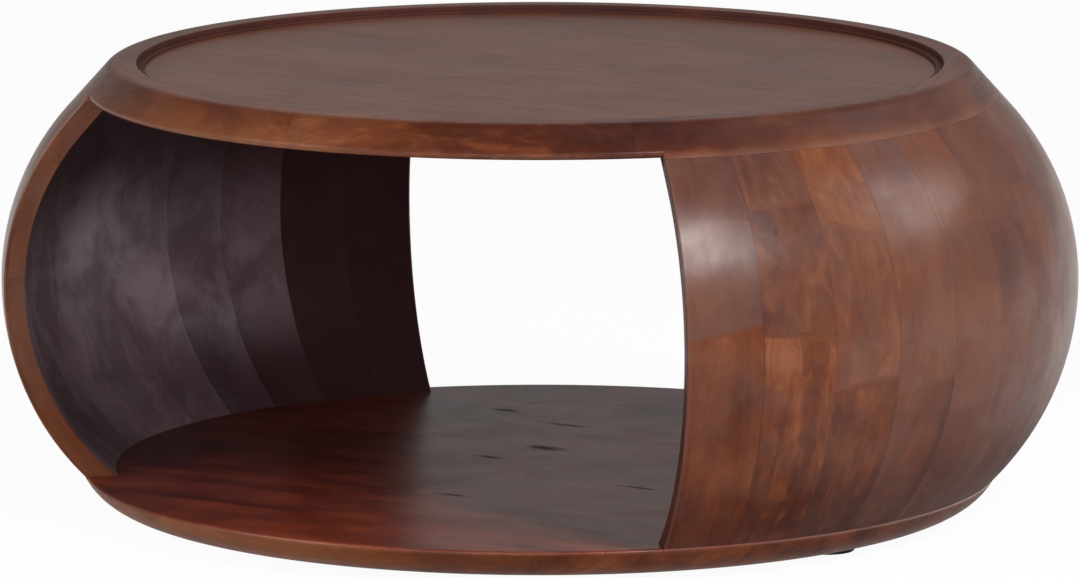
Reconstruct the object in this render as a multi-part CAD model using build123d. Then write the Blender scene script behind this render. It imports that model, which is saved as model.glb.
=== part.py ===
from build123d import *
import math
import os

# Drum table: a barrel made of two shells of curved staves, standing on a round base under a rimmed top.
# It is open at the front (-Y) and at the back (+Y); the shells stand at the right (+X) and the left (-X).
# Units are millimetres and degrees. The origin is on the floor, under the middle of the table, and +Z is up.

# ---- Barrel --------------------------------------------------------------------------------------
belly_d = 1000.0          # widest diameter, at the belly of the staves
belly_z = 212.0           # height of the belly above the floor
barrel_r = 233.0          # radius of the wall's curve above the belly
shoulder_lean = 42.0      # angle from upright at which that curve ends in a straight shoulder
lower_draw = 74.0         # how far the outside comes in from the belly down to the base
wall = 20.5               # thickness of a stave, square to its face
shell_span = 83.5         # angle that each shell covers
staves_per_shell = 10
stave_h = 351.5           # height of the staves, from the base to the rim
end_bevel = 8.0           # back bevel of a shell's open ends, measured from the radial plane
end_arris = 1.5           # width of the flat that breaks the edges of those ends

# ---- Rim, a ring of sawn segments ----------------------------------------------------------------
rim_h = 29.5              # height of the ring
rim_top_w = 24.7          # width of its top, to where its face would meet it in a sharp edge
crest_round = 14.0        # rounding of that edge
rim_low_round = 4.0       # rounding of its lower edge over the openings
rim_arris = 1.2           # rounding of the inner edge of its top
rim_segments = 8
tray_depth = 7.4          # the top panel lies this far below the rim
step_drop = 4.5           # the narrow step round the tray lies this far below the rim
step_w = 7.0              # width of the step
step_arris = 0.8          # rounding of its edge
seat_w = 14.0             # width of the ledge that carries the top panel

# ---- Top panel and base, glued up from boards that run along X -----------------------------------
panel_t = 18.0
panel_clearance = 0.2     # all round, between the panel and the rim
panel_boards = 8
base_t = 27.5
base_draw = 34.0          # how far the base's edge comes in from its top face to its underside
base_bulge = 4.8          # how far the base's edge swells past a straight line
base_low_round = 4.0      # rounding of the base's lower edge
base_top_round = 2.5      # rounding of its upper edge in the openings
base_boards = 8

# ---- Dowels --------------------------------------------------------------------------------------
dowel_d = 8.0
stave_dowel_l = 40.0
rim_dowel_l = 30.0

# ---- Feet and their screws -----------------------------------------------------------------------
foot_d = 52.0
foot_h = 6.0
foot_edge = 1.0           # chamfer round a foot's lower edge
foot_inset = 10.5         # from the edge of the base's underside to the edge of a foot
foot_count = 3
first_foot = -9.8         # angle of the first foot from +X
screw_d = 4.0
screw_l = 20.0            # length under the head
screw_head_d = 9.0
screw_head_h = 2.4
screw_sink = 0.8          # the head lies this far up inside the foot
screw_clearance = 0.2     # added all round the screw inside the foot
cross_w = 0.9             # driver cross: width, span and depth
cross_span = 5.0
cross_depth = 1.2

# ---- Heights and radii that follow from them -----------------------------------------------------
belly_r = belly_d / 2
base_z = foot_h
shelf_z = base_z + base_t
shelf_r = belly_r - lower_draw
base_low_r = shelf_r - base_draw
rim_z = shelf_z + stave_h
top_z = rim_z + rim_h
step_z = top_z - step_drop
panel_z = top_z - tray_depth
seat_z = panel_z - panel_t
foot_circle_r = base_low_r - foot_inset - foot_d / 2


# ---- The barrel's wall: an arc below the belly, one above it, and a straight shoulder -------------
def arc_radius(rise, run):
    """Radius of an arc that starts upright at the belly and comes in by run over a height of rise."""
    return (rise ** 2 + run ** 2) / (2 * run)


lower_arc_r = arc_radius(belly_z - shelf_z, lower_draw)
shoulder_turn = math.radians(shoulder_lean)


def shoulder_z(depth=0.0):
    """Height at which the shoulder begins, on the surface that lies depth inside the outer face."""
    return belly_z + (barrel_r - depth) * math.sin(shoulder_turn)


def wall_lean(z, depth=0.0):
    """How far the wall leans in at height z, in radians; below the belly it is less than 0."""
    if z > shoulder_z(depth):
        return shoulder_turn
    arc_r = barrel_r if z > belly_z else lower_arc_r
    return math.asin((z - belly_z) / (arc_r - depth))


def wall_r(z, depth=0.0):
    """Radius of the wall at height z."""
    arc_r = barrel_r if z > belly_z else lower_arc_r
    lean = wall_lean(z, depth)
    straight = max(z - shoulder_z(depth), 0)
    return belly_r - arc_r + (arc_r - depth) * math.cos(lean) - straight * math.tan(lean)


rim_low_r = wall_r(rim_z)
rim_top_r = wall_r(top_z)
tray_r = rim_top_r - rim_top_w
well_r = tray_r - step_w


def at(r, z):
    """A point of a cross-section: radius and height."""
    return (r, 0, z)


def wall_run(z0, z1, depth=0.0):
    """The wall's outline from one height up to another, in arcs and, on the shoulder, a line."""
    bends = [z for z in (belly_z, shoulder_z(depth)) if z0 < z < z1]
    heights = [z0, *bends, z1]
    run = []
    for low, high in zip(heights, heights[1:]):
        mid = (low + high) / 2
        start, middle, end = [at(wall_r(z, depth), z) for z in (low, mid, high)]
        straight = low >= shoulder_z(depth)
        run.append(Line(start, end) if straight else ThreePointArc(start, middle, end))
    return run


def swelling_arc(r0, z0, r1, z1, bulge):
    """An arc from one edge to another that swells outwards by bulge in its middle."""
    chord = math.hypot(r1 - r0, z1 - z0)
    mid_r = (r0 + r1) / 2 + bulge * abs(z1 - z0) / chord
    mid_z = (z0 + z1) / 2 + bulge * (r0 - r1) / chord * math.copysign(1, z1 - z0)
    return ThreePointArc(at(r0, z0), at(mid_r, mid_z), at(r1, z1))


def turned(edges, sweep=360.0, start=0.0):
    """Turn a closed cross-section about the table's axis, from one angle through another."""
    section = Face(Wire(edges))
    return revolve(section, Axis.Z, sweep).rotate(Axis.Z, start)


def wedge(start, sweep):
    """A slice of cake as high as the table, for cutting round parts into their sectors."""
    corner_r = belly_d
    corners = [at(0, 0), at(corner_r, 0), at(corner_r, top_z + rim_h), at(0, top_z + rim_h)]
    return turned(Polyline(*corners, close=True).edges(), sweep, start)


def rod(radius, length, origin, direction):
    """A round rod centred on a point."""
    plane = Plane(origin=origin, z_dir=direction)
    return Solid.make_cylinder(radius, length, plane.offset(-length / 2))


def ring_edges(part, z, radius):
    """The circles of a turned part at a height and radius."""
    near = 0.01
    circles = part.edges().filter_by(GeomType.CIRCLE)
    return [e for e in circles if abs(e.center().Z - z) < near and abs(e.radius - radius) < near]


def opening_edge(plain, softened):
    """Take the softened part over the two openings, and the plain part over the shells."""
    half_open = 180 - shell_span
    over_openings = wedge(shell_span / 2, half_open) + wedge(180 + shell_span / 2, half_open)
    return (plain - over_openings) + (softened & over_openings)


# ---- Where the staves stand, and the dowels at their ends ----------------------------------------
stave_angle = shell_span / staves_per_shell
SHELLS = {"right": 0.0, "left": 180.0}


def stave_middle(centre, index):
    """Angle of the middle of one stave in the shell that is centred on the given angle."""
    return centre - shell_span / 2 + (index + 0.5) * stave_angle


def stave_dowel(joint_z, centre, index):
    """A dowel that crosses the joint at the top or bottom of a stave, in line with the leaning wall."""
    lean = wall_lean(joint_z, wall / 2)
    along = (-math.sin(lean), 0, math.cos(lean))
    upright = rod(dowel_d / 2, stave_dowel_l, at(wall_r(joint_z, wall / 2), joint_z), along)
    return upright.rotate(Axis.Z, stave_middle(centre, index))


def stave_dowels(joint_z):
    """All the dowels at the top or bottom of the two shells."""
    return [
        stave_dowel(joint_z, centre, index)
        for centre in SHELLS.values()
        for index in range(staves_per_shell)
    ]


def rim_dowel(index):
    """A dowel across one joint of the rim, square to the joint."""
    middle_r = (well_r + rim_top_r) / 2
    middle_z = (rim_z + top_z) / 2
    straight = rod(dowel_d / 2, rim_dowel_l, at(middle_r, middle_z), (0, 1, 0))
    return straight.rotate(Axis.Z, index * 360 / rim_segments)


# ---- Staves --------------------------------------------------------------------------------------
def plain_stave():
    """One stave from the middle of a shell, lying across +X."""
    outer = wall_run(shelf_z, rim_z)
    inner = wall_run(shelf_z, rim_z, wall)
    head = Line(outer[-1] @ 1, inner[-1] @ 1)
    foot = Line(inner[0] @ 0, outer[0] @ 0)
    return turned([*outer, head, *inner, foot], stave_angle, -stave_angle / 2)


def end_cutter(side):
    """What the back bevel and its broken edges take off a stave at a shell's end; side is +1 or -1."""
    lean = math.tan(math.radians(end_bevel))
    past = wall

    def section(arc_r):
        inner = arc_r - wall
        outline = [
            (arc_r + past, -end_arris - past * (1 - lean)),
            (arc_r - end_arris, -end_arris * lean),
            (inner + end_arris, -(wall - end_arris) * lean),
            (inner - past, -wall * lean - end_arris - past * (1 + lean)),
            (inner - past, past),
            (arc_r + past, past),
        ]
        points = [(belly_r - arc_r + out, side * across, belly_z) for out, across in outline]
        return Face(Wire.make_polygon(points))

    def hub(arc_r, turn):
        return Axis((belly_r - arc_r, 0, belly_z), (0, turn, 0))

    lower = revolve(section(lower_arc_r), hub(lower_arc_r, 1), 90)
    upper = revolve(section(barrel_r), hub(barrel_r, -1), shoulder_lean)
    upper_end = section(barrel_r).rotate(hub(barrel_r, -1), shoulder_lean)
    shoulder_way = (-math.sin(shoulder_turn), 0, math.cos(shoulder_turn))
    shoulder = extrude(upper_end, stave_h, dir=shoulder_way)
    return (lower + upper + shoulder).rotate(Axis.Z, side * stave_angle / 2)


def make_staves():
    middle = plain_stave()
    ends = {0: middle - end_cutter(-1), staves_per_shell - 1: middle - end_cutter(1)}
    for name, centre in SHELLS.items():
        for index in range(staves_per_shell):
            stave = ends.get(index, middle).rotate(Axis.Z, stave_middle(centre, index))
            for joint_z in (shelf_z, rim_z):
                stave -= stave_dowel(joint_z, centre, index)
            yield f"{name}_stave_{index + 1}", stave


# ---- Rim -----------------------------------------------------------------------------------------
def rim_ring():
    """The whole rim before it is cut into segments."""
    face = wall_run(rim_z, top_z)
    inside = Polyline(
        at(rim_top_r, top_z),
        at(tray_r, top_z),
        at(tray_r, step_z),
        at(well_r, step_z),
        at(well_r, seat_z),
        at(well_r - seat_w, seat_z),
        at(well_r - seat_w, rim_z),
        at(rim_low_r, rim_z),
    )
    ring = turned([*face, *inside.edges()])
    ring = fillet(ring_edges(ring, top_z, rim_top_r), crest_round)
    ring = fillet(ring_edges(ring, top_z, tray_r), rim_arris)
    ring = fillet(ring_edges(ring, step_z, well_r), step_arris)
    softened = fillet(ring_edges(ring, rim_z, rim_low_r), rim_low_round)
    return opening_edge(ring, softened)


def make_rim():
    ring = rim_ring()
    for dowel in stave_dowels(rim_z):
        ring -= dowel
    for index in range(rim_segments):
        ring -= rim_dowel(index)
    sweep = 360 / rim_segments
    for index in range(rim_segments):
        yield f"rim_segment_{index + 1}", ring & wedge(index * sweep, sweep)


# ---- Boards --------------------------------------------------------------------------------------
def boards(disc, diameter, count):
    """Cut a round panel into the boards that it is glued up from."""
    width = diameter / count
    for index in range(count):
        middle_y = -diameter / 2 + (index + 0.5) * width
        strip = Pos(0, middle_y, top_z / 2) * Box(2 * belly_d, width, 2 * top_z)
        yield index + 1, disc & strip


def make_panel():
    radius = well_r - panel_clearance
    panel = Pos(0, 0, (seat_z + panel_z) / 2) * Cylinder(radius, panel_t)
    for number, board in boards(panel, 2 * radius, panel_boards):
        yield f"top_board_{number}", board


def base_disc():
    """The base before it is cut into boards, with its swelling edge."""
    edge = swelling_arc(base_low_r, base_z, shelf_r, shelf_z, base_bulge)
    rest = Polyline(at(shelf_r, shelf_z), at(0, shelf_z), at(0, base_z), at(base_low_r, base_z))
    disc = turned([edge, *rest.edges()])
    disc = fillet(ring_edges(disc, base_z, base_low_r), base_low_round)
    softened = fillet(ring_edges(disc, shelf_z, shelf_r), base_top_round)
    return opening_edge(disc, softened)


def make_base():
    disc = base_disc()
    for dowel in stave_dowels(shelf_z):
        disc -= dowel
    for angle in foot_angles():
        disc -= screw_shank().rotate(Axis.Z, angle)
    for number, board in boards(disc, 2 * shelf_r, base_boards):
        yield f"base_board_{number}", board


# ---- Feet ----------------------------------------------------------------------------------------
def foot_angles():
    return [first_foot + index * 360 / foot_count for index in range(foot_count)]


def screw_shank(extra=0.0):
    """The round shank of a foot screw, in the place of a foot on +X."""
    start_z = screw_sink + screw_head_h
    middle_z = start_z + screw_l / 2
    return Pos(foot_circle_r, 0, middle_z) * Cylinder(screw_d / 2 + extra, screw_l)


def screw_head(extra=0.0, sink=screw_sink):
    """The screw's flat round head; with a sink of 0 it is the pocket in the foot."""
    height = screw_sink + screw_head_h - sink
    return Pos(foot_circle_r, 0, sink + height / 2) * Cylinder(screw_head_d / 2 + extra, height)


def foot():
    disc = Pos(foot_circle_r, 0, foot_h / 2) * Cylinder(foot_d / 2, foot_h)
    disc = chamfer(disc.edges().group_by(Axis.Z)[0], foot_edge)
    disc -= screw_head(screw_clearance, 0.0)
    return disc - screw_shank(screw_clearance)


def foot_screw():
    screw = screw_shank() + screw_head()
    for spans in ((cross_span, cross_w), (cross_w, cross_span)):
        screw -= Pos(foot_circle_r, 0, screw_sink) * Box(*spans, 2 * cross_depth)
    return screw


def make_feet():
    for number, angle in enumerate(foot_angles(), 1):
        yield f"foot_{number}", foot().rotate(Axis.Z, angle)
    yield "foot_screws", Compound([foot_screw().rotate(Axis.Z, angle).solid() for angle in foot_angles()])


# ---- Dowels --------------------------------------------------------------------------------------
def make_dowels():
    yield "base_dowels", Compound(stave_dowels(shelf_z))
    yield "rim_to_stave_dowels", Compound(stave_dowels(rim_z))
    yield "rim_joint_dowels", Compound([rim_dowel(index) for index in range(rim_segments)])


# ---- Write every piece ---------------------------------------------------------------------------
os.makedirs("parts", exist_ok=True)
for maker in (make_staves, make_rim, make_panel, make_base, make_feet, make_dowels):
    for node, shape in maker():
        export_step(shape, f"parts/{node}.step")
        print(node, round(shape.volume), "mm3")
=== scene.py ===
# %% [markdown]
# # The finish of a drum coffee table
# The table is a barrel of red-brown stained hardwood. Two shells of curved staves stand between a disc base
# and a rimmed top, and the barrel is open at the front and at the back. All its pieces come in one packed
# model, at their real size, so this lesson is about what the pieces are made of: their grain, stain,
# lacquer and light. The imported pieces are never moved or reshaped.

# %% Load the pieces
import bpy
import math
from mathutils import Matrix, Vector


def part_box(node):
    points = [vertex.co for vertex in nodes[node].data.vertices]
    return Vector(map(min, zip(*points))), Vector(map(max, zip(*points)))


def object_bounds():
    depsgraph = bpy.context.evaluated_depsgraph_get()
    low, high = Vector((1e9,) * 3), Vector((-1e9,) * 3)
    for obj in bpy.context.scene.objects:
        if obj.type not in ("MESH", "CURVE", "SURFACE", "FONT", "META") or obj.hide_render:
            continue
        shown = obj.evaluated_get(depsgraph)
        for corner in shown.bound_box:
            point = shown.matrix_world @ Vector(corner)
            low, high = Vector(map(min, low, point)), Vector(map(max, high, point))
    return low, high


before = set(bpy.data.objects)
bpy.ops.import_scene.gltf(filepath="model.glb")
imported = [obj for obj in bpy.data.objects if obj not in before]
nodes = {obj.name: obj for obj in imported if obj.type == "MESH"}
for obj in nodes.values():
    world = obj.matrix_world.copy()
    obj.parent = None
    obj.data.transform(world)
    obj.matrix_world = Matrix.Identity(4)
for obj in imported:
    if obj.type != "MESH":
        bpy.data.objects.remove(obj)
packed_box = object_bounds()
bpy.ops.object.select_all(action="DESELECT")
bpy.context.scene.view_settings.view_transform = "Standard"
print("pieces:", len(nodes), "box:", [round(side, 4) for side in packed_box[1] - packed_box[0]])

# %% [markdown]
# ## Sizes that the finish follows
# Grain runs along a stave, and a joint shows at its two edges, so the patterns need to know where each
# piece lies. The pieces themselves tell much of that: the box of a stave gives the height of the shelf and
# of the rim, and the whole table's box gives the radius of the belly. The few sizes that no box tells are
# written here, in metres and radians.

# %% Read sizes off the pieces
stave_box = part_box("right_stave_5")
belly_radius = packed_box[1].x
top_height = packed_box[1].z
shelf_height = stave_box[0].z
rim_height = stave_box[1].z
staves_per_shell = sum(name.startswith("right_stave_") for name in nodes)
belly_height = 0.212
barrel_arc = 0.233
shoulder_lean = math.radians(42.0)
lower_draw = 0.074
wall = 0.0205
shell_span = math.radians(83.5)
tray_radius = 0.3735
well_radius = 0.3663
print("shelf, rim and top at", round(shelf_height, 4), round(rim_height, 4), round(top_height, 4))

# %% [markdown]
# ## The barrel's outline
# Seen from the side, a stave is an arc below the belly, a tighter arc above it, and from the shoulder on it
# runs straight into the rim. Following that line turns a height into a length along the stave, which is
# what the grain needs.

# %% Follow the barrel's outline
lower_rise = belly_height - shelf_height
lower_arc = (lower_rise ** 2 + lower_draw ** 2) / (2 * lower_draw)
shoulder_height = belly_height + barrel_arc * math.sin(shoulder_lean)
shoulder_rise = rim_height - shoulder_height
stave_top = barrel_arc * shoulder_lean + shoulder_rise / math.cos(shoulder_lean)
shoulder_draw = shoulder_rise * math.tan(shoulder_lean)
rim_low_radius = belly_radius - barrel_arc * (1 - math.cos(shoulder_lean)) - shoulder_draw
shelf_radius = belly_radius - lower_draw
stave_angle = shell_span / staves_per_shell
half_stave = stave_angle / 2 * belly_radius
print("arcs of the barrel:", round(barrel_arc, 4), round(lower_arc, 4))
print("the rim starts at a radius of", round(rim_low_radius, 4))

# %% [markdown]
# ## Nodes in one line each
# A material is a tree of nodes. Written out in full, each node takes four or five lines of code, so a few
# short helpers come first: one adds any node, one does a sum, one eases a value from one range into another
# and one mixes two colours.


# %% Add nodes
def add_node(tree, kind, inputs=None, **options):
    """Add a node; each input takes a value, or a link from another node's socket."""
    node = tree.nodes.new(kind)
    for option, value in options.items():
        setattr(node, option, value)
    for socket, value in (inputs or {}).items():
        if isinstance(value, bpy.types.NodeSocket):
            tree.links.new(value, node.inputs[socket])
        else:
            node.inputs[socket].default_value = value
    return node


def maths(tree, operation, *terms):
    """One Math node, as its output."""
    return add_node(tree, "ShaderNodeMath", dict(enumerate(terms)), operation=operation).outputs[0]


def spread(tree, value, low, high, to_low=0.0, to_high=1.0):
    """Ease the values between low and high into the range between to_low and to_high."""
    limits = {"Value": value, "From Min": low, "From Max": high, "To Min": to_low, "To Max": to_high}
    return add_node(tree, "ShaderNodeMapRange", limits, interpolation_type="SMOOTHSTEP").outputs[0]


def blend(tree, amount, first, second):
    """Mix two colours."""
    return add_node(tree, "ShaderNodeMix", {0: amount, 6: first, 7: second}, data_type="RGBA").outputs[2]


def blank_material(name):
    """A material with an empty node tree."""
    material = bpy.data.materials.new(name)
    material.use_nodes = True
    material.node_tree.nodes.clear()
    return material, material.node_tree


# %% [markdown]
# ## The floor and the light
# Gloss only shows when there is something to reflect. A studio gives a piece of furniture a pale floor, dim
# surroundings that are lightest near the horizon, and soft boxes. The strongest of the four here hangs high
# at the front of the right-hand shell and lays a highlight down its staves. One behind it lights the far
# side of that shell. A wide one at the front left and a low one in front fill the open barrel. The floor is
# one large plane of white paper. Part of its white is a glow for the eye and for reflections alone, so it
# reads as white all over and still lies a little darker where the table shades it.

# %% Lay the floor
floor_side = 60.0
floor_glow = 0.95
paper_white = 0.8
white = (1.0, 1.0, 1.0, 1)
bpy.ops.mesh.primitive_plane_add(size=floor_side, location=(0, 0, 0))
floor = bpy.context.object
floor.name = "floor"
paper, tree = blank_material("white_paper")
rays = add_node(tree, "ShaderNodeLightPath").outputs
looked_at = maths(tree, "ADD", rays["Is Glossy Ray"], rays["Is Transmission Ray"])
looked_at = maths(tree, "ADD", looked_at, rays["Is Camera Ray"])
glow = maths(tree, "MULTIPLY", looked_at, floor_glow)
paper_colour = (paper_white, paper_white, paper_white, 1)
sheet = add_node(tree, "ShaderNodeBsdfDiffuse", {"Color": paper_colour}).outputs[0]
shine = add_node(tree, "ShaderNodeEmission", {"Color": white, "Strength": 1.0}).outputs[0]
both = add_node(tree, "ShaderNodeMixShader", {0: glow, 1: sheet, 2: shine}).outputs[0]
add_node(tree, "ShaderNodeOutputMaterial", {"Surface": both})
floor.data.materials.append(paper)
print("floor:", floor_side, "m square")

# %% Fill the room with dim light, lightest at the horizon
horizon_light = 0.37
ceiling_light = 0.14
horizon_end = 0.12
ceiling_start = 0.55
room = bpy.data.worlds.new("studio")
room.use_nodes = True
bpy.context.scene.world = room
tree = room.node_tree
around = add_node(tree, "ShaderNodeTexCoord").outputs["Generated"]
upward = add_node(tree, "ShaderNodeSeparateXYZ", {0: around}).outputs[2]
level = spread(tree, upward, horizon_end, ceiling_start, horizon_light, ceiling_light)
tree.links.new(level, tree.nodes["Background"].inputs["Strength"])
tree.nodes["Background"].inputs["Color"].default_value = white
print("room light from", ceiling_light, "to", horizon_light)


# %% Hang the soft boxes
def soft_box(name, bearing, elevation, distance, size, power):
    """A square lamp that faces the table; bearing 0 is the open front, 90 the right-hand shell."""
    turn, lift = math.radians(bearing), math.radians(elevation)
    place = (
        distance * math.cos(lift) * math.sin(turn),
        -distance * math.cos(lift) * math.cos(turn),
        distance * math.sin(lift) + belly_height,
    )
    bpy.ops.object.light_add(type="AREA", location=place, rotation=(math.pi / 2 - lift, 0, turn))
    lamp = bpy.context.object
    lamp.name = name
    lamp.data.shape = "SQUARE"
    lamp.data.size = size
    lamp.data.energy = power
    print(name, "at", [round(x, 2) for x in place])


camera_bearing = 33.2
soft_box("key_box", camera_bearing + 37, 37, 4.0, 1.1, 121)
soft_box("side_box", camera_bearing + 98, 32, 4.5, 1.3, 46)
soft_box("front_box", camera_bearing - 65, 25, 4.5, 2.0, 75)
soft_box("low_box", camera_bearing - 8, 11, 4.5, 1.8, 50)

# %% [markdown]
# ## The camera
# A long lens from nine metres away keeps the round table almost free of perspective, and a camera 1.7 m
# above the floor looks down on the top by about ten degrees.

# %% Place the camera
camera_distance = 8.833
camera_height = 1.689
camera_pitch = 9.57
sensor_width = 36.0
lens_length = 321.0
far_limit = 100.0
turn = math.radians(camera_bearing)
bpy.ops.object.camera_add(
    location=(camera_distance * math.sin(turn), -camera_distance * math.cos(turn), camera_height),
    rotation=(math.radians(90 - camera_pitch), 0, turn),
)
camera = bpy.context.object
camera.name = "camera"
camera.data.sensor_width = sensor_width
camera.data.lens = lens_length
camera.data.clip_end = far_limit
bpy.context.scene.camera = camera
print("lens", camera.data.lens, "mm at", [round(x, 3) for x in camera.location])

# %% [markdown]
# ## Where a point lies in its board
# Wood grain is a solid pattern: long along the board, fine across it. A point of the table is first turned
# into a place in its own board, as across, along and depth in metres. A flat board only needs its axes
# named. A stave is bent, so its place is found on the barrel: the angle round the table, the length along
# the arc and the depth below the outer face. This arithmetic is a node group, because all the staves use
# it.


# %% Start a node group
def new_group(name, inputs, outputs):
    """An empty shader group: its tree, the sockets that come in and the sockets that go out."""
    group = bpy.data.node_groups.new(name, "ShaderNodeTree")
    for label, value in inputs.items():
        kind = "NodeSocketVector" if isinstance(value, tuple) else "NodeSocketFloat"
        socket = group.interface.new_socket(label, in_out="INPUT", socket_type=kind)
        socket.default_value = value
    for label in outputs:
        kind = "NodeSocketColor" if label == "Colour" else "NodeSocketFloat"
        group.interface.new_socket(label, in_out="OUTPUT", socket_type=kind)
    return group, add_node(group, "NodeGroupInput").outputs, add_node(group, "NodeGroupOutput").inputs


def give_out(group, result, made):
    """Link what a group has made to its outputs."""
    for label, socket in made.items():
        group.links.new(socket, result[label])
    print("group", group.name, "gives", ", ".join(made))
    return group


def use_group(tree, group, inputs):
    """Place a group in a material with its own values, and hand back its outputs."""
    node = tree.nodes.new("ShaderNodeGroup")
    node.node_tree = group
    for socket, value in inputs.items():
        if isinstance(value, bpy.types.NodeSocket):
            tree.links.new(value, node.inputs[socket])
        else:
            node.inputs[socket].default_value = value
    return node.outputs


# %% Find a place in a stave
def length_of(tree, first, second):
    """The long side over two short ones."""
    square = maths(tree, "MULTIPLY", second, second)
    return maths(tree, "SQRT", maths(tree, "MULTIPLY_ADD", first, first, square))


def make_stave_place():
    """Takes a point turned so that its stave's middle lies on +X."""
    group, given, result = new_group("stave place", {"Point": (0.0, 0.0, 0.0)}, ("Across", "Along", "Depth"))
    x, y, z = add_node(group, "ShaderNodeSeparateXYZ", {0: given["Point"]}).outputs
    rise = maths(group, "SUBTRACT", z, belly_height)
    above = maths(group, "GREATER_THAN", rise, 0.0)
    arc = maths(group, "MULTIPLY_ADD", above, barrel_arc - lower_arc, lower_arc)
    out = maths(group, "ADD", maths(group, "SUBTRACT", length_of(group, x, y), belly_radius), arc)
    lean = maths(group, "MINIMUM", maths(group, "ARCTAN2", rise, out), shoulder_lean)
    level_part, steep_part = maths(group, "COSINE", lean), maths(group, "SINE", lean)
    reach = maths(group, "MULTIPLY_ADD", out, level_part, maths(group, "MULTIPLY", rise, steep_part))
    straight = maths(group, "MULTIPLY", rise, level_part)
    straight = maths(group, "SUBTRACT", straight, maths(group, "MULTIPLY", out, steep_part))
    made = {
        "Across": maths(group, "MULTIPLY", maths(group, "ARCTAN2", y, x), belly_radius),
        "Along": maths(group, "MULTIPLY_ADD", lean, arc, straight),
        "Depth": maths(group, "SUBTRACT", arc, reach),
    }
    return give_out(group, result, made)


stave_place = make_stave_place()

# %% [markdown]
# ## Grain
# This hardwood has wandering growth bands a few centimetres wide, fine streaks, short dark pores, soft
# clouds and, in places, a curly figure of small flames. Each is a noise texture stretched to its own
# proportion, and a seed moves every board to its own part of the pattern. One group makes them all, so that
# staves, rim and boards are cut from the same timber.


# %% Stretch a noise
def stretched_noise(group, place, across, along, detail, roughness=0.55, distortion=0.0):
    """Noise with so many features per metre across and along the board."""
    stretch = {0: place, 1: (across, along, across)}
    scaled = add_node(group, "ShaderNodeVectorMath", stretch, operation="MULTIPLY").outputs[0]
    values = {"Vector": scaled, "Scale": 1.0, "Detail": detail}
    values.update({"Roughness": roughness, "Distortion": distortion})
    return add_node(group, "ShaderNodeTexNoise", values).outputs["Fac"]


def kept_noise(group, place, noise, kept):
    """A stretched noise, eased so that the values that are kept run from 0 to 1."""
    return spread(group, stretched_noise(group, place, *noise), *kept)


# %% Grow the grain
# For each part: features per metre across and along, detail, roughness and distortion, as far as they differ
# from the plain ones, and then the values of the noise that are kept.
GRAIN_NOISES = {
    "Bands": ((34.0, 2.5, 3.0), (0.3, 0.7)),
    "Streaks": ((230.0, 9.0, 4.0, 0.6), (0.25, 0.75)),
    "Pores": ((560.0, 36.0, 1.0), (0.64, 0.80)),
    "Curl": ((62.0, 24.0, 3.0, 0.55, 0.9), (0.42, 0.74)),
    "Cloud": ((17.0, 10.0, 5.0, 0.58, 0.4), (0.3, 0.7)),
}
SWAY_NOISE = (8.0, 4.0, 2.0)
SEED_STEP = (1.7, 2.9, 4.3)
wander = 0.014


def make_grain():
    """Bands, streaks, pores and curl sway together along the board; the clouds lie over them unbent."""
    group, given, result = new_group(
        "board grain",
        {"Across": 0.0, "Along": 0.0, "Depth": 0.0, "Seed": 0.0, "Wander": wander},
        tuple(GRAIN_NOISES),
    )
    parts = {0: given["Across"], 1: given["Along"], 2: given["Depth"]}
    start = add_node(group, "ShaderNodeCombineXYZ", parts).outputs[0]
    step = {0: SEED_STEP, "Scale": given["Seed"]}
    shift = add_node(group, "ShaderNodeVectorMath", step, operation="SCALE").outputs[0]
    place = add_node(group, "ShaderNodeVectorMath", {0: start, 1: shift}, operation="ADD").outputs[0]
    sway = maths(group, "SUBTRACT", stretched_noise(group, place, *SWAY_NOISE), 0.5)
    sway = maths(group, "MULTIPLY", sway, given["Wander"])
    push = add_node(group, "ShaderNodeCombineXYZ", {0: sway, 2: sway}).outputs[0]
    bent = add_node(group, "ShaderNodeVectorMath", {0: place, 1: push}, operation="ADD").outputs[0]
    made = {}
    for label, (noise, kept) in GRAIN_NOISES.items():
        lies_at = place if label == "Cloud" else bent
        made[label] = kept_noise(group, lies_at, noise, kept)
    return give_out(group, result, made)


grain = make_grain()

# %% [markdown]
# ## Stain
# The stain is a red-brown dye that soaks in unevenly. Dense bands stay light, open grain drinks it and goes
# dark, and every board takes it a little differently. The stain group weighs the grain into one value,
# moves it by the board's own lightness, and reads the colour off a ramp. Greyness turns a board from orange
# to mauve-brown; on the right-hand shell and on the rim's flat it is also painted sheen. Redness deepens it
# towards wine red. Over that lie a dark painted shade for the inside, a pale painted sheen and the bare tone
# of a rubbed edge. Joints, knots and pores take the dye darkest of all.

# %% Mix the stain
STAIN_RAMP = (
    (0.00, (0.022, 0.0045, 0.0030)),
    (0.28, (0.062, 0.0130, 0.0055)),
    (0.52, (0.138, 0.0360, 0.0115)),
    (0.76, (0.220, 0.0720, 0.0260)),
    (1.00, (0.320, 0.1300, 0.0580)),
)
GRAIN_WEIGHTS = {"Bands": 0.11, "Streaks": 0.05, "Cloud": 0.15}
figure_weight = 0.15
plain_curl = 0.3
# The mauve that Greyness mixes in: the wood's own mauve-brown, and painted sheen on the right-hand shell and
# the rim's flat.
mauve_tone_and_sheen = (0.102, 0.057, 0.049, 1)
red_tint = (1.12, 0.64, 0.74)
filled_dark = (0.014, 0.005, 0.004, 1)
# What lies over the stain: how much a full mask covers, and its colour. The first is painted shade
# for the inside, the second a pale painted sheen and the third the bare tone of worn wood.
OVER_STAIN = {
    "Inside": (0.75, (0.030, 0.011, 0.015, 1)),
    "Sheen": (0.85, (0.360, 0.235, 0.270, 1)),
    "Rubbed": (0.25, (0.260, 0.150, 0.110, 1)),
}
mauve_share = 0.5
pore_cover = 0.25
middle_tone = 0.5
average_grain = 0.5 * sum(GRAIN_WEIGHTS.values())


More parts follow.
